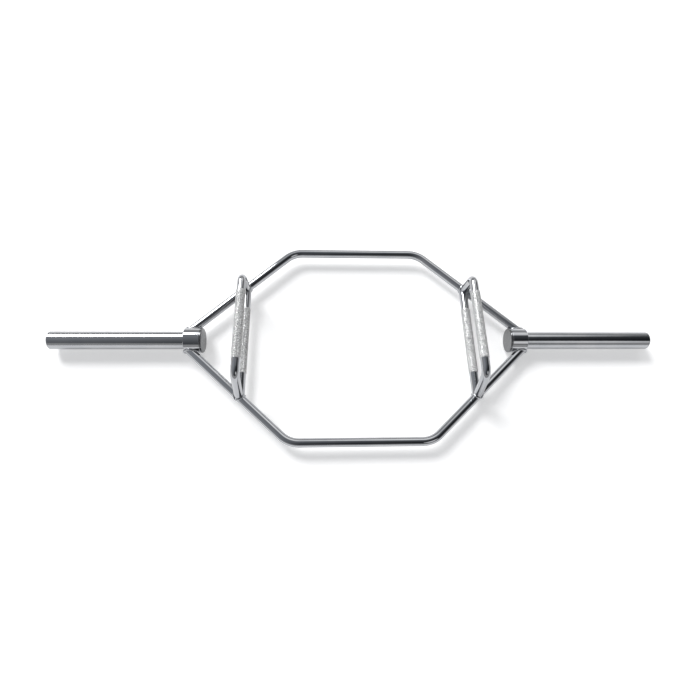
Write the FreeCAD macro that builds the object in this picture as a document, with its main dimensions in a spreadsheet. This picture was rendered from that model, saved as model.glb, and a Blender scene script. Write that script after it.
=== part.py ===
"""Hex trap bar: a hexagon of bent round bar between two plate sleeves, with low and raised handles.

Frame: +X along the sleeves, +Y to the rear, +Z up. The origin is on the floor under the middle,
and the sleeves' axis lies one collar radius above it. Sizes are in millimetres.
"""
import FreeCAD, Part
import Sketcher
import math
import os

V = FreeCAD.Vector

doc = FreeCAD.newDocument("HexTrapBar")

# Driving sizes
SIZES = [
    ("sleeve_diameter", 50.0, "outside of the tube that takes the plates"),
    ("sleeve_wall", 4.0, "wall of that tube"),
    ("sleeve_reach", 367.0, "loading length, collar to sleeve end"),
    ("seat_step", 0.5, "sleeve turned down, per side, where it sits in the collar"),
    ("sleeve_rounding", 3.0, "rounded outer edge of the sleeve"),
    ("plug_thickness", 6.0, "disc that closes the sleeve"),
    ("plug_recess", 1.0, "plug face below the sleeve's end"),
    ("fit_gap", 0.1, "radial gap of the slip fits before welding"),
    ("collar_diameter", 70.0, "stop collar, outside"),
    ("collar_length", 50.0, "stop collar with its cap"),
    ("collar_spacing", 868.0, "between the two caps' inner faces"),
    ("collar_chamfer", 1.5, "collar's plate-side edge"),
    ("cap_thickness", 6.0, "disc that closes the collar"),
    ("cap_rounding", 3.0, "rounded inner edge of the cap"),
    ("seam_chamfer", 0.6, "groove where cap and collar meet"),
    ("bar_diameter", 24.5, "round stock of the hexagon"),
    ("frame_depth", 584.0, "front bar axis to rear bar axis"),
    ("straight_length", 380.0, "straight side, corner to corner"),
    ("bar_landing", 32.0, "cap face to where a bar's axis meets the collar's side"),
    ("bend_radius", 70.0, "corner bend at the bar's axis"),
    ("handle_diameter", 24.0, "round stock of the handles"),
    ("knurl_diameter", 25.2, "over the knurled band"),
    ("knurl_bevel", 0.8, "length of the bevel at a knurl's end"),
    ("handle_spacing", 645.0, "between the low handles' axes"),
    ("low_knurl", 202.0, "knurled length of a low handle"),
    ("raised_height", 108.0, "raised grip's axis above the hexagon's plane"),
    ("raised_inset", 2.0, "raised grip inboard of the low handle"),
    ("foot_offset", 3.0, "raised handle's feet outboard of the low handle"),
    ("leg_splay", 24.0, "feet beyond the top of the legs, along the grip"),
    ("raised_bend", 24.0, "raised handle's bends at the bar's axis"),
    ("raised_knurl", 200.0, "knurled length of a raised handle"),
    ("weld_radius", 3.6, "weld bead section"),
]

sheet = doc.addObject("Spreadsheet::Sheet", "Sizes")
for row, (alias, value, note) in enumerate(SIZES, start=1):
    sheet.set(f"A{row}", note)
    sheet.set(f"B{row}", str(value))
    sheet.setAlias(f"B{row}", alias)
doc.recompute()

# Lengths that follow from the driving sizes
DERIVED = [
    ("axis_height", "Sizes.collar_diameter / 2"),
    ("half_depth", "Sizes.frame_depth / 2"),
    ("corner_x", "Sizes.straight_length / 2"),
    ("cap_x", "Sizes.collar_spacing / 2"),
    ("collar_x", "Derived.cap_x + Sizes.cap_thickness"),
    ("stop_x", "Derived.cap_x + Sizes.collar_length"),
    ("end_x", "Derived.stop_x + Sizes.sleeve_reach"),
    ("landing_x", "Derived.cap_x + Sizes.bar_landing"),
    ("slope", "(Derived.half_depth - Derived.axis_height) / (Derived.landing_x - Derived.corner_x)"),
    ("low_x", "Sizes.handle_spacing / 2"),
    ("foot_x", "Derived.low_x + Sizes.foot_offset"),
    ("lean_run", "Sizes.foot_offset + Sizes.raised_inset"),
    ("low_half", "Derived.half_depth - (Derived.low_x - Derived.corner_x) * Derived.slope"),
    ("foot_y", "Derived.half_depth - (Derived.foot_x - Derived.corner_x) * Derived.slope"),
    ("leg_y", "Derived.foot_y - Sizes.leg_splay"),
    ("slant_height", "sqrt(Sizes.raised_height ^ 2 + Derived.lean_run ^ 2)"),
    ("lean_angle", "atan(Derived.lean_run / Sizes.raised_height)"),
]

derived = doc.addObject("App::VarSet", "Derived")
for name, formula in DERIVED:
    derived.addProperty("App::PropertyFloat", name)
    derived.setExpression(name, formula)
doc.recompute()

BAR_RADIUS = "Sizes.bar_diameter / 2"
HANDLE_RADIUS = "Sizes.handle_diameter / 2"
KNURL_RADIUS = "Sizes.knurl_diameter / 2"
SLEEVE_RADIUS = "Sizes.sleeve_diameter / 2"
COLLAR_RADIUS = "Sizes.collar_diameter / 2"
ORIGIN = (-1, 1)
ACROSS, UP = -1, -2
TOUCH = 0.01
SIDES = (("left", -1), ("right", 1))
ENDS = (("front", -1), ("rear", 1))

parts = []


# Sketch helpers

def new_sketch(body, name, role):
    """Sketch on one of the body's own origin planes."""
    sketch = body.newObject("Sketcher::SketchObject", name)
    plane = next(item for item in body.Origin.OriginFeatures if item.Role == role)
    sketch.AttachmentSupport = [(plane, "")]
    sketch.MapMode = "FlatFace"
    return sketch


def number(formula):
    """Present value of an expression in millimetres."""
    value = sheet.evalExpression(formula)
    return float(getattr(value, "Value", value))


def pin(sketch, geometry, vertex, across, up):
    """Hold a sketch vertex at two expressions measured from the origin."""
    for kind, formula, axis in (("DistanceX", across, UP), ("DistanceY", up, ACROSS)):
        if formula == "0":
            sketch.addConstraint(Sketcher.Constraint("PointOnObject", geometry, vertex, axis))
        else:
            constraint = Sketcher.Constraint(kind, *ORIGIN, geometry, vertex, number(formula))
            index = sketch.addConstraint(constraint)
            sketch.setExpression(f"Constraints[{index}]", formula)


def point(across, up):
    return V(number(across), number(up), 0)


def polygon(sketch, corners):
    """Closed outline whose corners are pairs of expressions."""
    places = [point(*corner) for corner in corners]
    for index, start in enumerate(places):
        sketch.addGeometry(Part.LineSegment(start, places[(index + 1) % len(places)]), False)
    for index, corner in enumerate(corners):
        following = (index + 1) % len(corners)
        sketch.addConstraint(Sketcher.Constraint("Coincident", index, 2, following, 1))
        pin(sketch, index, 1, *corner)


def circle(sketch, across, up, radius):
    index = sketch.addGeometry(Part.Circle(point(across, up), V(0, 0, 1), number(radius)), False)
    pin(sketch, index, 3, across, up)
    held = sketch.addConstraint(Sketcher.Constraint("Radius", index, number(radius)))
    sketch.setExpression(f"Constraints[{held}]", radius)


def bent_path(sketch, start, corner, through, end, radius):
    """Two straight runs joined by a tangent arc; the second run's line holds the point through."""
    first, turn, last = point(*start), point(*corner), point(*end)
    back = (first - turn).normalize()
    ahead = (last - turn).normalize()
    half_turn = (math.pi - back.getAngle(ahead)) / 2
    bend = number(radius)
    tangent = bend * math.tan(half_turn)
    inward = (back + ahead).normalize()
    centre = turn + inward * (bend / math.cos(half_turn))
    leave = turn + back * tangent
    join = turn + ahead * tangent
    left_turn = ahead.cross(back).z > 0
    begin, stop = (leave, join) if left_turn else (join, leave)
    angles = [math.atan2(place.y - centre.y, place.x - centre.x) for place in (begin, stop)]
    ring = Part.Circle(centre, V(0, 0, 1), bend)
    sketch.addGeometry(Part.LineSegment(first, leave), False)
    sketch.addGeometry(Part.ArcOfCircle(ring, *angles), False)
    sketch.addGeometry(Part.LineSegment(join, last), False)
    arc_start = 1 if left_turn else 2
    sketch.addGeometry(Part.Point(turn), True)
    pin(sketch, 0, 1, *start)
    pin(sketch, 3, 1, *corner)
    if through is None:
        pin(sketch, 2, 2, *end)
    else:
        guide(sketch, through)
    sketch.addConstraint(Sketcher.Constraint("PointOnObject", 3, 1, 0))
    sketch.addConstraint(Sketcher.Constraint("PointOnObject", 3, 1, 2))
    sketch.addConstraint(Sketcher.Constraint("Tangent", 0, 2, 1, arc_start))
    sketch.addConstraint(Sketcher.Constraint("Tangent", 1, 3 - arc_start, 2, 1))
    held = sketch.addConstraint(Sketcher.Constraint("Radius", 1, bend))
    sketch.setExpression(f"Constraints[{held}]", radius)


def guide(sketch, through):
    """Let the last run end on the axis and pass through a fixed point."""
    index = sketch.addGeometry(Part.Point(point(*through)), True)
    pin(sketch, index, 1, *through)
    sketch.addConstraint(Sketcher.Constraint("PointOnObject", index, 1, 2))
    sketch.addConstraint(Sketcher.Constraint("PointOnObject", 2, 2, ACROSS))


# Feature helpers

def new_body(name):
    return doc.addObject("PartDesign::Body", name)


def finish_part(piece, label):
    piece.Label = label
    parts.append(piece)
    return piece


def turned(body, name, corners, axis):
    """Revolve an outline about the body's X or Y axis."""
    sketch = new_sketch(body, f"{name}_outline", "XY_Plane")
    polygon(sketch, corners)
    turn = body.newObject("PartDesign::Revolution", name)
    turn.Profile = sketch
    turn.ReferenceAxis = (sketch, [axis])
    turn.Angle = 360
    doc.recompute()
    return turn


def bent_bar(body, name, path, section_role, mirror_role, section):
    """Sweep half a bent bar from its middle outward, then mirror it."""
    profile = new_sketch(body, f"{name}_section", section_role)
    circle(profile, *section)
    pipe = body.newObject("PartDesign::AdditivePipe", f"{name}_half")
    pipe.Profile = profile
    pipe.Spine = (path, ["Edge1", "Edge2", "Edge3"])
    mirror = body.newObject("PartDesign::Mirrored", name)
    plane = next(item for item in body.Origin.OriginFeatures if item.Role == mirror_role)
    mirror.Originals = [pipe]
    mirror.MirrorPlane = (plane, [""])
    body.Tip = mirror
    doc.recompute()


def edges_at(feature, radius, station):
    """Names of a feature's circular edges of one radius at one station on the X axis."""
    names = []
    for index, edge in enumerate(feature.Shape.Edges, start=1):
        curve = edge.Curve
        if not isinstance(curve, Part.Circle):
            continue
        if abs(curve.Radius - radius) < TOUCH and abs(curve.Center.x - station) < TOUCH:
            names.append(f"Edge{index}")
    return names


def soften(body, base, kind, size, places):
    """Fillet or chamfer circular edges, each found by its radius and its station."""
    names = []
    for radius, station in places:
        names += edges_at(base, number(radius), number(station))
    dressing = body.newObject(f"PartDesign::{kind}", f"{base.Name}_{kind.lower()}")
    dressing.Base = (base, names)
    dressing.setExpression("Radius" if kind == "Fillet" else "Size", size)
    doc.recompute()
    return dressing


def on_axis(body, direction):
    """Stand a turned piece on the sleeves' axis, facing its own side."""
    body.Placement.Rotation = FreeCAD.Rotation(V(0, 0, 1), 0 if direction > 0 else 180)
    body.setExpression("Placement.Base.z", "Derived.axis_height")


def coped(base, label, tools):
    """Cut a bar's ends to the bars that they are welded to."""
    for index, tool in enumerate(tools, start=1):
        cut = doc.addObject("Part::Cut", f"{label}_cope{index}")
        cut.Base = base
        cut.Tool = tool
        cut.Refine = True
        base = cut
    doc.recompute()
    return finish_part(base, label)


# Hexagon: two bars, each bent at two corners, with fish-mouthed ends on the collars

def frame_bar(label, direction):
    body = new_body(label)
    sign = "" if direction > 0 else "-"
    path = new_sketch(body, f"{label}_path", "XY_Plane")
    rim = f"{sign}Derived.half_depth"
    landing = ("Derived.landing_x", f"{sign}Derived.axis_height")
    apex = ("Derived.landing_x + Derived.axis_height / Derived.slope", "0")
    bent_path(path, ("0", rim), ("Derived.corner_x", rim), landing, apex, "Sizes.bend_radius")
    bent_bar(body, f"{label}_bent", path, "YZ_Plane", "YZ_Plane", (rim, "0", BAR_RADIUS))
    whole = body.Shape.Volume
    mouth = new_sketch(body, f"{label}_mouth", "YZ_Plane")
    circle(mouth, "0", "0", COLLAR_RADIUS)
    cope = body.newObject("PartDesign::Pocket", f"{label}_cope")
    cope.Profile = mouth
    cope.Type = "ThroughAll"
    cope.SideType = "Symmetric"
    body.setExpression("Placement.Base.z", "Derived.axis_height")
    doc.recompute()
    if body.Shape.Volume >= whole:
        raise RuntimeError(f"{label}: the fish mouths cut nothing")
    return finish_part(body, label)


# Sleeve end: collar, its cap, the plate sleeve and its plug

def collar(label, direction):
    body = new_body(label)
    bore = f"{SLEEVE_RADIUS} - Sizes.seat_step + Sizes.fit_gap"
    outline = [("Derived.collar_x", bore), ("Derived.stop_x", bore),
               ("Derived.stop_x", COLLAR_RADIUS), ("Derived.collar_x", COLLAR_RADIUS)]
    ring = turned(body, f"{label}_ring", outline, "H_Axis")
    seam = soften(body, ring, "Chamfer", "Sizes.seam_chamfer", [(COLLAR_RADIUS, "Derived.collar_x")])
    soften(body, seam, "Chamfer", "Sizes.collar_chamfer", [(COLLAR_RADIUS, "Derived.stop_x")])
    on_axis(body, direction)
    return finish_part(body, label)


def collar_cap(label, direction):
    body = new_body(label)
    outline = [("Derived.cap_x", "0"), ("Derived.collar_x", "0"),
               ("Derived.collar_x", COLLAR_RADIUS), ("Derived.cap_x", COLLAR_RADIUS)]
    disc = turned(body, f"{label}_disc", outline, "H_Axis")
    seam = soften(body, disc, "Chamfer", "Sizes.seam_chamfer", [(COLLAR_RADIUS, "Derived.collar_x")])
    soften(body, seam, "Fillet", "Sizes.cap_rounding", [(COLLAR_RADIUS, "Derived.cap_x")])
    on_axis(body, direction)
    return finish_part(body, label)


def sleeve(label, direction):
    """Plate tube with a turned seat that stands in the collar, shoulder against the stop face."""
    body = new_body(label)
    bore = f"{SLEEVE_RADIUS} - Sizes.sleeve_wall"
    seat = f"{SLEEVE_RADIUS} - Sizes.seat_step"
    outline = [("Derived.collar_x", bore), ("Derived.end_x", bore), ("Derived.end_x", SLEEVE_RADIUS),
               ("Derived.stop_x", SLEEVE_RADIUS), ("Derived.stop_x", seat), ("Derived.collar_x", seat)]
    tube = turned(body, f"{label}_tube", outline, "H_Axis")
    soften(body, tube, "Fillet", "Sizes.sleeve_rounding", [(SLEEVE_RADIUS, "Derived.end_x")])
    on_axis(body, direction)
    return finish_part(body, label)


def sleeve_plug(label, direction):
    body = new_body(label)
    rim = f"{SLEEVE_RADIUS} - Sizes.sleeve_wall - Sizes.fit_gap"
    face = "Derived.end_x - Sizes.plug_recess"
    back = f"{face} - Sizes.plug_thickness"
    turned(body, f"{label}_disc", [(back, "0"), (face, "0"), (face, rim), (back, rim)], "H_Axis")
    on_axis(body, direction)
    return finish_part(body, label)


# Handles

def low_handle(label, direction, frame):
    """Straight bar across the hexagon, knurled along its middle."""
    body = new_body(f"{label}_stock")
    half = "Sizes.low_knurl / 2"
    crest = "Sizes.low_knurl / 2 - Sizes.knurl_bevel"
    outline = [("0", "-Derived.low_half"), (HANDLE_RADIUS, "-Derived.low_half"),
               (HANDLE_RADIUS, f"-({half})"), (KNURL_RADIUS, f"-({crest})"),
               (KNURL_RADIUS, crest), (HANDLE_RADIUS, half),
               (HANDLE_RADIUS, "Derived.low_half"), ("0", "Derived.low_half")]
    turned(body, f"{label}_bar", outline, "V_Axis")
    body.setExpression("Placement.Base.x", f"{direction} * Derived.low_x")
    body.setExpression("Placement.Base.z", "Derived.axis_height")
    return coped(body, label, frame)


def raised_handle(label, direction, tools):
    """Bar bent to a U that leans inboard, with its feet on the hexagon's slanting sides."""
    body = new_body(f"{label}_stock")
    path = new_sketch(body, f"{label}_path", "YZ_Plane")
    top = "Derived.slant_height"
    bent_path(path, ("0", top), ("Derived.leg_y", top), None, ("Derived.foot_y", "0"), "Sizes.raised_bend")
    bent_bar(body, f"{label}_bent", path, "XZ_Plane", "XZ_Plane", ("0", top, HANDLE_RADIUS))
    band = new_sketch(body, f"{label}_knurl_outline", "YZ_Plane")
    half = "Sizes.raised_knurl / 2"
    crest = "Sizes.raised_knurl / 2 - Sizes.knurl_bevel"
    rim = f"{top} + {HANDLE_RADIUS}"
    proud = f"{top} + {KNURL_RADIUS}"
    polygon(band, [(f"-({half})", top), (half, top), (half, rim), (crest, proud),
                   (f"-({crest})", proud), (f"-({half})", rim)])
    knurl = body.newObject("PartDesign::Revolution", f"{label}_knurl")
    knurl.Profile = band
    knurl.ReferenceAxis = (band, ["Edge1"])
    knurl.Angle = 360
    body.Placement.Rotation = FreeCAD.Rotation(V(0, 1, 0), 1)
    body.setExpression("Placement.Rotation.Angle", f"{-direction} * Derived.lean_angle")
    body.setExpression("Placement.Base.x", f"{direction} * Derived.foot_x")
    body.setExpression("Placement.Base.z", "Derived.axis_height")
    return coped(body, label, tools)


# Weld beads

SECTIONS = 28
HARMONICS = 4


def seam_points(foot, along, radius, main_foot, main_along, main_radius):
    """Where a bar's surface meets the surface of the bar it stands on, smoothed round its girth."""
    side = along.cross(main_along).normalize()
    other = along.cross(side)
    girth = [2 * math.pi * step / SECTIONS for step in range(SECTIONS)]
    reach = []
    rays = []
    for angle in girth:
        start = foot + (side * math.cos(angle) + other * math.sin(angle)) * radius
        gap = start - main_foot
        gap -= main_along * gap.dot(main_along)
        run = along - main_along * along.dot(main_along)
        square = run.dot(run)
        cross = gap.dot(run)
        depth = max(cross * cross - square * (gap.dot(gap) - main_radius ** 2), 0.0)
        rays.append(start)
        reach.append((math.sqrt(depth) - cross) / square)
    smooth = []
    for angle in girth:
        total = sum(reach) / SECTIONS
        for order in range(1, HARMONICS + 1):
            even = sum(r * math.cos(order * a) for r, a in zip(reach, girth)) * 2 / SECTIONS
            odd = sum(r * math.sin(order * a) for r, a in zip(reach, girth)) * 2 / SECTIONS
            total += even * math.cos(order * angle) + odd * math.sin(order * angle)
        smooth.append(total)
    return [ray + along * run for ray, run in zip(rays, smooth)]


def bead(points, radius):
    """Closed chain of ruled faces through circles square to the seam."""
    centre = sum(points, V()) / SECTIONS
    rings = []
    for index, middle in enumerate(points):
        ahead = (points[(index + 1) % SECTIONS] - points[index - 1]).normalize()
        outward = middle - centre
        outward = (outward - ahead * outward.dot(ahead)).normalize()
        ring = Part.makeCircle(radius)
        ring.Placement = FreeCAD.Placement(middle, FreeCAD.Rotation(outward, V(), ahead, "ZXY"))
        rings.append(ring)
    faces = [Part.makeRuledSurface(rings[index - 1], rings[index]) for index in range(SECTIONS)]
    shell = Part.makeShell(faces)
    shell.sewShape()
    solid = Part.makeSolid(shell)
    return solid if solid.Volume > 0 else solid.reversed()


def weld(label, seam, neighbours):
    """One bead of weld metal, cut back to the pieces that it lies against."""
    metal = bead(seam, sheet.weld_radius).cut([neighbour.Shape for neighbour in neighbours])
    piece = doc.addObject("Part::Feature", label)
    piece.Shape = max(metal.Solids, key=lambda solid: solid.Volume)
    return finish_part(piece, label)


frame_bars = {end: frame_bar(f"{end}_frame_bar", direction) for end, direction in ENDS}
both_bars = list(frame_bars.values())
low_handles = {}
raised_handles = {}
collars = {}
for side, direction in SIDES:
    collars[side] = collar(f"{side}_collar", direction)
    collar_cap(f"{side}_collar_cap", direction)
    sleeve(f"{side}_sleeve", direction)
    sleeve_plug(f"{side}_sleeve_plug", direction)
    low_handles[side] = low_handle(f"{side}_low_handle", direction, both_bars)
    tools = both_bars + [low_handles[side]]
    raised_handles[side] = raised_handle(f"{side}_raised_handle", direction, tools)

height = derived.axis_height
middle = V(0, 0, height)
for side, outward in SIDES:
    for end, rearward in ENDS:
        bar = frame_bars[end]
        apex = V(outward * (derived.landing_x + height / derived.slope), 0, height)
        inward = V(-outward, rearward * derived.slope, 0).normalize()
        bar_radius = sheet.bar_diameter / 2
        handle_radius = sheet.handle_diameter / 2
        collar_seam = seam_points(apex, inward, bar_radius, middle, V(1, 0, 0), sheet.collar_diameter / 2)
        weld(f"{side}_{end}_collar_weld", collar_seam, [bar, collars[side]])
        foot = V(outward * derived.foot_x, rearward * derived.foot_y, height)
        leg_top = V(outward * (derived.foot_x - derived.lean_run), rearward * derived.leg_y,
                    height + sheet.raised_height)
        leg = (leg_top - foot).normalize()
        handles = [bar, low_handles[side], raised_handles[side]]
        foot_seam = seam_points(foot, leg, handle_radius, apex, inward, bar_radius)
        foot_weld = weld(f"{side}_{end}_foot_weld", foot_seam, handles)
        low_end = V(outward * derived.low_x, rearward * derived.low_half, height)
        low_seam = seam_points(low_end, V(0, -rearward, 0), handle_radius, apex, inward, bar_radius)
        weld(f"{side}_{end}_low_weld", low_seam, handles + [foot_weld])

doc.recompute()
for item in doc.Objects:
    if "Invalid" in item.State or "Error" in item.State:
        raise RuntimeError(f"{item.Name}: {item.State}")
for piece in parts:
    if piece.Shape.isNull() or not piece.Shape.isValid():
        raise RuntimeError(f"{piece.Label}: bad shape")

os.makedirs("parts", exist_ok=True)
for piece in parts:
    shape = piece.Shape
    shape.exportStep(f"parts/{piece.Label}.step")
    print(f"{piece.Label}: {len(shape.Solids)} solid, {shape.Volume:.0f} mm3")
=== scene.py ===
"""Looks of the hex trap bar: chrome finishes, knurled grips, weld beads, studio and camera."""
import math
import random

import bmesh
import bpy
from mathutils import Matrix, Vector


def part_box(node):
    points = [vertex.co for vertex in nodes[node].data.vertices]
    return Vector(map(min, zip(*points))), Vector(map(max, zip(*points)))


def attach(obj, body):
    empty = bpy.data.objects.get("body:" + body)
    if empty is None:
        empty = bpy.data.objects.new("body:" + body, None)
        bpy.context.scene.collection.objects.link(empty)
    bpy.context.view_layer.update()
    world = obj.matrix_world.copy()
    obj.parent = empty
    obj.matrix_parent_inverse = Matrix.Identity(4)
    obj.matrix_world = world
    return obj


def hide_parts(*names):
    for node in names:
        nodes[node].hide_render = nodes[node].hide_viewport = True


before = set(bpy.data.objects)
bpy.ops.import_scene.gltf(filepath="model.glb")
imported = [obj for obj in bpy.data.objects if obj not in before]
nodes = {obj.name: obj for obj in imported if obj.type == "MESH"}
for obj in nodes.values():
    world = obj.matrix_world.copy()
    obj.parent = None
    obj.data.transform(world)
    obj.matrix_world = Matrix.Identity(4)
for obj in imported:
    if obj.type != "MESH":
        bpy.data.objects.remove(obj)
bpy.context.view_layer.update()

scene = bpy.context.scene
scene.view_settings.view_transform = "Standard"

# Sizes of the bar in metres: x runs to the right, y to the rear and z up from the floor
SIDES = {"left": -1, "right": 1}
ENDS = {"front": -1, "rear": 1}
STRAIGHT_LENGTH = 0.38
BAR_LANDING = 0.032
HANDLE_RADIUS = 0.012
LOW_KNURL = 0.202
RAISED_KNURL = 0.2
KNURL_BEVEL = 0.0008
RAISED_HEIGHT = 0.108
RAISED_INSET = 0.002
FOOT_OFFSET = 0.003
LEG_SPLAY = 0.024

# Sizes that follow from the solids' boxes
cap_low, cap_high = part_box("right_collar_cap")
bar_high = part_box("rear_frame_bar")[1]
handle_low, handle_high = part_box("right_low_handle")
AXIS_HEIGHT = (cap_low.z + cap_high.z) / 2
COLLAR_RADIUS = (cap_high.z - cap_low.z) / 2
BAR_RADIUS = bar_high.z - AXIS_HEIGHT
HALF_DEPTH = bar_high.y - BAR_RADIUS
CORNER_X = STRAIGHT_LENGTH / 2
LANDING_X = cap_low.x + BAR_LANDING
SLOPE = (HALF_DEPTH - COLLAR_RADIUS) / (LANDING_X - CORNER_X)
LOW_X = (handle_low.x + handle_high.x) / 2
GRIP_RADIUS = (handle_high.x - handle_low.x) / 2
RAISED_X = LOW_X - RAISED_INSET
FOOT_X = LOW_X + FOOT_OFFSET

# Camera: its place in metres, and how it is turned, in degrees
CAMERA_PLACE = Vector((-0.0999, -0.5584, 1.2809))
CAMERA_YAW = 8.19
CAMERA_PITCH = 66.79
CAMERA_ROLL = 7.49
SENSOR_WIDTH = 36.0
LENS = 24.634


def add_camera():
    yaw, pitch, roll = (math.radians(a) for a in (CAMERA_YAW, CAMERA_PITCH, CAMERA_ROLL))
    forward = Vector((math.sin(yaw) * math.cos(pitch), math.cos(yaw) * math.cos(pitch), -math.sin(pitch)))
    level = Vector((math.cos(yaw), -math.sin(yaw), 0))
    top = level.cross(forward)
    right = math.cos(roll) * level + math.sin(roll) * top
    up = -math.sin(roll) * level + math.cos(roll) * top
    data = bpy.data.cameras.new("camera")
    data.sensor_width = SENSOR_WIDTH
    data.lens = LENS
    camera = bpy.data.objects.new("camera", data)
    turn = Matrix((right, up, -forward)).transposed().to_4x4()
    camera.matrix_world = Matrix.Translation(CAMERA_PLACE) @ turn
    scene.collection.objects.link(camera)
    scene.camera = camera


# Node helpers; the colours of a Mix node have these places among its sockets
MIX_FIRST = 6
MIX_SECOND = 7
MIX_RESULT = 2


def link(tree, source, target):
    tree.links.new(source, target)


def fade_node(tree, value, start, end):
    """Rises smoothly from 0 at start to 1 at end."""
    node = tree.nodes.new("ShaderNodeMapRange")
    node.interpolation_type = "SMOOTHSTEP"
    node.inputs["From Min"].default_value = start
    node.inputs["From Max"].default_value = end
    link(tree, value, node.inputs["Value"])
    return node.outputs["Result"]


def toward_node(tree, way, aim):
    """Cosine of the angle between a direction and an aim."""
    node = tree.nodes.new("ShaderNodeVectorMath")
    node.operation = "DOT_PRODUCT"
    node.inputs[1].default_value = Vector(aim).normalized()
    link(tree, way, node.inputs[0])
    return node.outputs["Value"]


def mix_node(tree, share, first, second):
    """Mixes two colours, each a tuple or the output of a node."""
    node = tree.nodes.new("ShaderNodeMix")
    node.data_type = "RGBA"
    link(tree, share, node.inputs["Factor"])
    for place, colour in ((MIX_FIRST, first), (MIX_SECOND, second)):
        if isinstance(colour, tuple):
            node.inputs[place].default_value = (*colour, 1)
        else:
            link(tree, colour, node.inputs[place])
    return node.outputs[MIX_RESULT]


# Studio: a pale backdrop stands all round the floor, and above it is a room that is dim at the far left
# and dark at the near right, with two soft boxes in it. Every ray sees the same room.
BACKDROP = (0.5, 0.5, 0.5)
BACKDROP_FADE = (0.36, 0.5)
ROOM_DARK = (0.02, 0.022, 0.025)
ROOM_DIM = (0.46, 0.48, 0.51)
ROOM_TOWARD = (-0.85, 0.5, 0.0)
ROOM_FADE = (-0.6, 0.9)
SOFT_BOXES = [
    {"toward": (0.2, 0.7, 0.7), "inner": 8, "outer": 26, "level": 1.3},
    {"toward": (0.45, -0.6, 0.65), "inner": 6, "outer": 16, "level": 1.1},
]


def add_world():
    world = bpy.data.worlds.new("studio")
    world.use_nodes = True
    scene.world = world
    tree = world.node_tree
    tree.nodes.clear()
    way = tree.nodes.new("ShaderNodeTexCoord").outputs["Generated"]
    split = tree.nodes.new("ShaderNodeSeparateXYZ")
    link(tree, way, split.inputs[0])
    lit = fade_node(tree, toward_node(tree, way, ROOM_TOWARD), *ROOM_FADE)
    colour = mix_node(tree, lit, ROOM_DARK, ROOM_DIM)
    for box in SOFT_BOXES:
        outer, inner = (math.cos(math.radians(box[edge])) for edge in ("outer", "inner"))
        share = fade_node(tree, toward_node(tree, way, box["toward"]), outer, inner)
        colour = mix_node(tree, share, colour, (box["level"],) * 3)
    above = fade_node(tree, split.outputs["Z"], *BACKDROP_FADE)
    colour = mix_node(tree, above, BACKDROP, colour)
    room = tree.nodes.new("ShaderNodeBackground")
    link(tree, colour, room.inputs["Color"])
    output = tree.nodes.new("ShaderNodeOutputWorld")
    link(tree, room.outputs[0], output.inputs["Surface"])


# Floor and lamp
FLOOR_HALF = 200.0
FLOOR_TONE = 0.9
FLOOR_ROUGHNESS = 0.9
FLOOR_GLOW = 0.4
LAMP_FROM = (-0.45, 0.6, 0.66)
LAMP_STRENGTH = 2.5
LAMP_SPREAD = 26.0


def floor_white():
    """White paper. What the camera, metal and glass see of it is lifted to white; it lights nothing more."""
    material = bpy.data.materials.new("floor_white")
    material.use_nodes = True
    tree = material.node_tree
    shader = tree.nodes["Principled BSDF"]
    shader.inputs["Base Color"].default_value = (FLOOR_TONE, FLOOR_TONE, FLOOR_TONE, 1)
    shader.inputs["Roughness"].default_value = FLOOR_ROUGHNESS
    shader.inputs["Specular IOR Level"].default_value = 0
    shader.inputs["Emission Color"].default_value = (1, 1, 1, 1)
    rays = tree.nodes.new("ShaderNodeLightPath")
    seen = rays.outputs["Is Camera Ray"]
    for kind in ("Is Glossy Ray", "Is Transmission Ray"):
        either = tree.nodes.new("ShaderNodeMath")
        either.operation = "MAXIMUM"
        link(tree, seen, either.inputs[0])
        link(tree, rays.outputs[kind], either.inputs[1])
        seen = either.outputs[0]
    glow = tree.nodes.new("ShaderNodeMath")
    glow.operation = "MULTIPLY"
    glow.inputs[1].default_value = FLOOR_GLOW
    link(tree, seen, glow.inputs[0])
    link(tree, glow.outputs[0], shader.inputs["Emission Strength"])
    return material


def add_floor():
    mesh = bpy.data.meshes.new("floor")
    corners = [(sx * FLOOR_HALF, sy * FLOOR_HALF, 0) for sx, sy in ((-1, -1), (1, -1), (1, 1), (-1, 1))]
    mesh.from_pydata(corners, [], [(0, 1, 2, 3)])
    floor = bpy.data.objects.new("floor", mesh)
    scene.collection.objects.link(floor)
    mesh.materials.append(floor_white())


def add_lamp():
    data = bpy.data.lights.new("softbox", "SUN")
    data.energy = LAMP_STRENGTH
    data.angle = math.radians(LAMP_SPREAD)
    lamp = bpy.data.objects.new("softbox", data)
    lamp.rotation_euler = Vector(LAMP_FROM).to_track_quat("Z", "Y").to_euler()
    scene.collection.objects.link(lamp)


# Finishes: the tones are a dark and a light one, and the gloss is a smooth and a rough one
CHROME = ((0.40, 0.41, 0.43), (0.45, 0.455, 0.47))
SATIN = ((0.54, 0.545, 0.55), (0.8, 0.8, 0.79))
# The caps and end plugs take a dark tone. It paints the dark reflection that the flat caps show and the
# shade in the sleeves' end recesses.
CAP_TONES_PAINTED_DARK = ((0.17, 0.173, 0.178), (0.2, 0.203, 0.208))
TONE_STOPS = (0.35, 0.65)
GLOSS_STOPS = (0.3, 0.7)
SMUDGE_SCALE = 18.0
SMUDGE_DETAIL = 5
GRAIN_DETAIL = 8
GRAIN_STRENGTH = 0.5
POLISH_DEPTH = 0.00001
EVEN = (1, 1, 1)
ROUND_THE_AXIS = (6, 1, 1)


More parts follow.
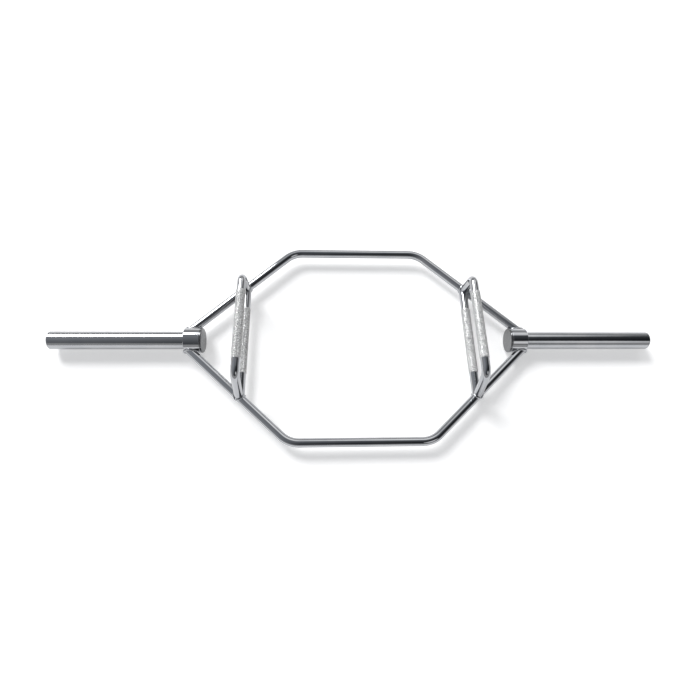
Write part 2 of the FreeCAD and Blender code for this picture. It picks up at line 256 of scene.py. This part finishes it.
def noise_node(tree, place, scale, detail, stretch):
    mapping = tree.nodes.new("ShaderNodeMapping")
    mapping.inputs["Scale"].default_value = stretch
    link(tree, place, mapping.inputs["Vector"])
    noise = tree.nodes.new("ShaderNodeTexNoise")
    noise.inputs["Scale"].default_value = scale
    noise.inputs["Detail"].default_value = detail
    link(tree, mapping.outputs["Vector"], noise.inputs["Vector"])
    return noise.outputs["Fac"]


def tone_node(tree, value, tones):
    node = tree.nodes.new("ShaderNodeValToRGB")
    for element, stop, tone in zip(node.color_ramp.elements, TONE_STOPS, tones):
        element.position = stop
        element.color = (*tone, 1)
    link(tree, value, node.inputs["Fac"])
    return node.outputs["Color"]


def gloss_node(tree, value, gloss):
    node = tree.nodes.new("ShaderNodeMapRange")
    for end, stop, roughness in zip(("Min", "Max"), GLOSS_STOPS, gloss):
        node.inputs["From " + end].default_value = stop
        node.inputs["To " + end].default_value = roughness
    link(tree, value, node.inputs["Value"])
    return node.outputs["Result"]


def chrome(name, tones, gloss, grain, depth=POLISH_DEPTH, stretch=EVEN, metal=1.0, smudges=SMUDGE_SCALE):
    """Plated steel: smudges vary its tone, and fine grain varies its gloss and breaks up its reflections."""
    material = bpy.data.materials.new(name)
    material.use_nodes = True
    tree = material.node_tree
    shader = tree.nodes["Principled BSDF"]
    shader.inputs["Metallic"].default_value = metal
    place = tree.nodes.new("ShaderNodeTexCoord").outputs["Object"]
    smudge = noise_node(tree, place, smudges, SMUDGE_DETAIL, EVEN)
    link(tree, tone_node(tree, smudge, tones), shader.inputs["Base Color"])
    polish = noise_node(tree, place, grain, GRAIN_DETAIL, stretch)
    link(tree, gloss_node(tree, polish, gloss), shader.inputs["Roughness"])
    bump = tree.nodes.new("ShaderNodeBump")
    bump.inputs["Strength"].default_value = GRAIN_STRENGTH
    bump.inputs["Distance"].default_value = depth
    link(tree, polish, bump.inputs["Height"])
    link(tree, bump.outputs["Normal"], shader.inputs["Normal"])
    return material


# Turned faces: fine rings about the sleeves' axis, as a lathe leaves them
RING_SCALE = 260.0
RING_DEPTH = 0.00006


def add_rings(material):
    tree = material.node_tree
    place = tree.nodes.new("ShaderNodeTexCoord").outputs["Object"]
    centre = tree.nodes.new("ShaderNodeMapping")
    centre.inputs["Location"].default_value = (0, 0, -AXIS_HEIGHT)
    link(tree, place, centre.inputs["Vector"])
    rings = tree.nodes.new("ShaderNodeTexWave")
    rings.wave_type = "RINGS"
    rings.rings_direction = "X"
    rings.inputs["Scale"].default_value = RING_SCALE
    link(tree, centre.outputs["Vector"], rings.inputs["Vector"])
    shader = tree.nodes["Principled BSDF"]
    grain = shader.inputs["Normal"].links[0].from_socket
    bump = tree.nodes.new("ShaderNodeBump")
    bump.inputs["Distance"].default_value = RING_DEPTH
    link(tree, rings.outputs["Fac"], bump.inputs["Height"])
    link(tree, grain, bump.inputs["Normal"])
    link(tree, bump.outputs["Normal"], shader.inputs["Normal"])


finishes = {
    "frame": chrome("frame_polish", CHROME, gloss=(0.015, 0.05), grain=60),
    "collar": chrome("collar_polish", CHROME, gloss=(0.04, 0.08), grain=70, stretch=ROUND_THE_AXIS),
    # Caps and end plugs: fine turning rings in a dark tone. The tone paints their dark reflection and the
    # shade in the end recesses.
    "cap": chrome("cap_turning_painted_dark", CAP_TONES_PAINTED_DARK, gloss=(0.2, 0.26), grain=120),
    "sleeve": chrome("sleeve_polish", CHROME, gloss=(0.1, 0.14), grain=70, stretch=ROUND_THE_AXIS),
    "handle": chrome("handle_polish", CHROME, gloss=(0.015, 0.05), grain=60),
    "weld": chrome("weld_plating", CHROME, gloss=(0.08, 0.2), grain=300, depth=0.0002),
    "knurl": chrome("knurl_plating", SATIN, gloss=(0.22, 0.32), grain=500, depth=0.0001, metal=0.75,
                    smudges=420),
}
add_rings(finishes["cap"])

# The last word of a node's name tells its finish
FINISH_OF = {"bar": "frame", "plug": "cap"}
for name, node in nodes.items():
    kind = name.split("_")[-1]
    node.data.materials.clear()
    node.data.materials.append(finishes[FINISH_OF.get(kind, kind)])


# Pieces
def add_piece(name, points, faces, material):
    mesh = bpy.data.meshes.new(name)
    mesh.from_pydata(points, [], faces)
    shell = bmesh.new()
    shell.from_mesh(mesh)
    bmesh.ops.recalc_face_normals(shell, faces=shell.faces)
    shell.to_mesh(mesh)
    shell.free()
    mesh.materials.append(material)
    piece = bpy.data.objects.new(name, mesh)
    scene.collection.objects.link(piece)
    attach(piece, "root")
    return piece


# Knurl: diamonds cut on two crossing spirals, with uneven blunt tops, as a skin over each grip band
KNURL_LIFT = 0.00002
KNURL_SINK = 0.0003
KNURL_FOOT = GRIP_RADIUS + KNURL_LIFT
KNURL_INSIDE = GRIP_RADIUS - KNURL_SINK
KNURL_HEIGHT = 0.0007
KNURL_AROUND = 28
KNURL_ANGLE = 30
KNURL_STEEPNESS = math.tan(math.radians(KNURL_ANGLE))
KNURL_TOP = 0.4
KNURL_UNEVEN = 0.3


def knurl_skin(name, x, z, half_length):
    width = math.tau * KNURL_FOOT / KNURL_AROUND
    rows = 2 * round(half_length * 2 * KNURL_STEEPNESS / width)
    step = 2 * half_length / rows
    turn = math.tau / KNURL_AROUND
    aside = KNURL_TOP * turn / 2
    ahead = KNURL_TOP * step
    chance = random.Random(name)
    points = []
    faces = []

    def put(angle, along, radius):
        points.append((x + radius * math.cos(angle), along, z + radius * math.sin(angle)))
        return len(points) - 1

    def ring(row, radius):
        shift = 0.5 * (row % 2)
        return [put((i + shift) * turn, row * step - half_length, radius) for i in range(KNURL_AROUND)]

    def crest():
        return KNURL_FOOT + KNURL_HEIGHT * (1 - KNURL_UNEVEN * chance.random())

    valleys = [ring(row, KNURL_FOOT) for row in range(rows + 1)]
    for row in range(1, rows):
        odd = (row - 1) % 2
        along = row * step - half_length
        for i in range(KNURL_AROUND):
            left = (i - 1 + odd) % KNURL_AROUND
            right = (left + 1) % KNURL_AROUND
            foot = [valleys[row - 1][i], valleys[row][right], valleys[row + 1][i], valleys[row][left]]
            angle = (i + 0.5 * odd) * turn
            top = [put(angle, along - ahead, crest()), put(angle + aside, along, crest()),
                   put(angle, along + ahead, crest()), put(angle - aside, along, crest())]
            for k in range(len(top)):
                faces.append((foot[k - 1], foot[k], top[k], top[k - 1]))
            faces.append(tuple(top))

    # The skin's ends and its inside close it
    inners = []
    for end, next_in in ((0, 1), (rows, rows - 1)):
        inner = [put(i * turn, end * step - half_length, KNURL_INSIDE) for i in range(KNURL_AROUND)]
        inners.append(inner)
        for i in range(KNURL_AROUND):
            n = (i + 1) % KNURL_AROUND
            faces.append((valleys[end][i], valleys[end][n], valleys[next_in][i]))
            faces.append((valleys[end][i], valleys[end][n], inner[n], inner[i]))
    first, last = inners
    for i in range(KNURL_AROUND):
        n = (i + 1) % KNURL_AROUND
        faces.append((first[i], first[n], last[n], last[i]))
    add_piece(name, points, faces, finishes["knurl"])


for side, outward in SIDES.items():
    knurl_skin(side + "_low_knurl", outward * LOW_X, AXIS_HEIGHT, LOW_KNURL / 2 - KNURL_BEVEL)
    knurl_skin(side + "_raised_knurl", outward * RAISED_X, AXIS_HEIGHT + RAISED_HEIGHT,
               RAISED_KNURL / 2 - KNURL_BEVEL)

# Welds: beads laid in short steps, each step lapping over the one before, along the seams between bars
BEAD_RADIUS = 0.0036
BEAD_WANDER = 0.06
BEAD_WAVES = (3, 5)
BEAD_SHIFTS = (0.7, 1.3, 2.1)
STEP_LENGTH = 0.0026
STEP_DEPTH = 0.06
STEP_LAG = 0.3
STATIONS_PER_STEP = 8
RING_POINTS = 14
SEAM_ORDERS = 4
SEAM_SAMPLES = 96


def seam_curve(foot, along, radius, main_foot, main_along, main_radius):
    """Returns a function from girth angle to the point where a bar meets the bar that it stands on."""
    side = along.cross(main_along).normalized()
    other = along.cross(side)

    # How far along the bar the other bar's surface is, all round the girth
    angles = [math.tau * i / SEAM_SAMPLES for i in range(SEAM_SAMPLES)]
    reach = []
    for angle in angles:
        gap = foot + (side * math.cos(angle) + other * math.sin(angle)) * radius - main_foot
        gap -= main_along * gap.dot(main_along)
        run = along - main_along * along.dot(main_along)
        cross = gap.dot(run)
        depth = max(cross * cross - run.dot(run) * (gap.dot(gap) - main_radius ** 2), 0)
        reach.append((math.sqrt(depth) - cross) / run.dot(run))

    # The same as a sum of a few waves, which rounds off its sharp turns
    waves = []
    for order in range(SEAM_ORDERS + 1):
        share = (2 if order else 1) / SEAM_SAMPLES
        even = sum(r * math.cos(order * a) for r, a in zip(reach, angles)) * share
        odd = sum(r * math.sin(order * a) for r, a in zip(reach, angles)) * share
        waves.append((order, even, odd))

    def point(angle):
        rise = 0
        for order, even, odd in waves:
            rise += even * math.cos(order * angle) + odd * math.sin(order * angle)
        return foot + (side * math.cos(angle) + other * math.sin(angle)) * radius + along * rise

    return point


def weld_bead(name, node, point, shift):
    coarse = [point(math.tau * i / SEAM_SAMPLES) for i in range(SEAM_SAMPLES)]
    length = sum((coarse[i] - coarse[i - 1]).length for i in range(SEAM_SAMPLES))
    stations = round(length / STEP_LENGTH) * STATIONS_PER_STEP
    middles = [point(math.tau * i / stations) for i in range(stations)]
    centre = sum(middles, Vector()) / stations
    slow, fast = BEAD_WAVES
    points = []
    faces = []
    for i, middle in enumerate(middles):
        ahead = (middles[(i + 1) % stations] - middles[i - 1]).normalized()
        outward = middle - centre
        outward = (outward - ahead * outward.dot(ahead)).normalized()
        across = ahead.cross(outward)
        turn = math.tau * i / stations
        girth = 1 + BEAD_WANDER * math.sin(slow * turn + shift) * math.sin(fast * turn + 2 * shift)
        for k in range(RING_POINTS):
            angle = math.tau * k / RING_POINTS
            lap = (i / STATIONS_PER_STEP + STEP_LAG * math.cos(angle)) % 1
            radius = BEAD_RADIUS * girth * (1 - STEP_DEPTH * lap * lap)
            points.append(middle + (outward * math.cos(angle) + across * math.sin(angle)) * radius)
        here = i * RING_POINTS
        there = (i + 1) % stations * RING_POINTS
        for k in range(RING_POINTS):
            n = (k + 1) % RING_POINTS
            faces.append((here + k, here + n, there + n, there + k))
    bead = add_piece(name, points, faces, finishes["weld"])
    bead.data.shade_smooth()
    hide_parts(node)


def side_depth(x):
    """How far from the middle a slanting side of the hexagon is at x."""
    return HALF_DEPTH - (x - CORNER_X) * SLOPE


sleeve_middle = Vector((0, 0, AXIS_HEIGHT))
sleeve_way = Vector((1, 0, 0))
for s, (side, outward) in enumerate(SIDES.items()):
    for e, (end, rearward) in enumerate(ENDS.items()):
        apex = Vector((outward * (LANDING_X + COLLAR_RADIUS / SLOPE), 0, AXIS_HEIGHT))
        inward = Vector((-outward, rearward * SLOPE, 0)).normalized()
        low_end = Vector((outward * LOW_X, rearward * side_depth(LOW_X), AXIS_HEIGHT))
        low_way = Vector((0, -rearward, 0))
        foot = Vector((outward * FOOT_X, rearward * side_depth(FOOT_X), AXIS_HEIGHT))
        top_y = rearward * (side_depth(FOOT_X) - LEG_SPLAY)
        leg_top = Vector((outward * RAISED_X, top_y, AXIS_HEIGHT + RAISED_HEIGHT))
        leg_way = (leg_top - foot).normalized()
        seams = {
            "collar": seam_curve(apex, inward, BAR_RADIUS, sleeve_middle, sleeve_way, COLLAR_RADIUS),
            "foot": seam_curve(foot, leg_way, HANDLE_RADIUS, apex, inward, BAR_RADIUS),
            "low": seam_curve(low_end, low_way, HANDLE_RADIUS, apex, inward, BAR_RADIUS),
        }
        for k, (kind, point) in enumerate(seams.items()):
            stem = side + "_" + end + "_" + kind
            shift = sum(part * count for part, count in zip(BEAD_SHIFTS, (k, e, s)))
            weld_bead(stem + "_bead", stem + "_weld", point, shift)

add_camera()
add_world()
add_floor()
add_lamp()
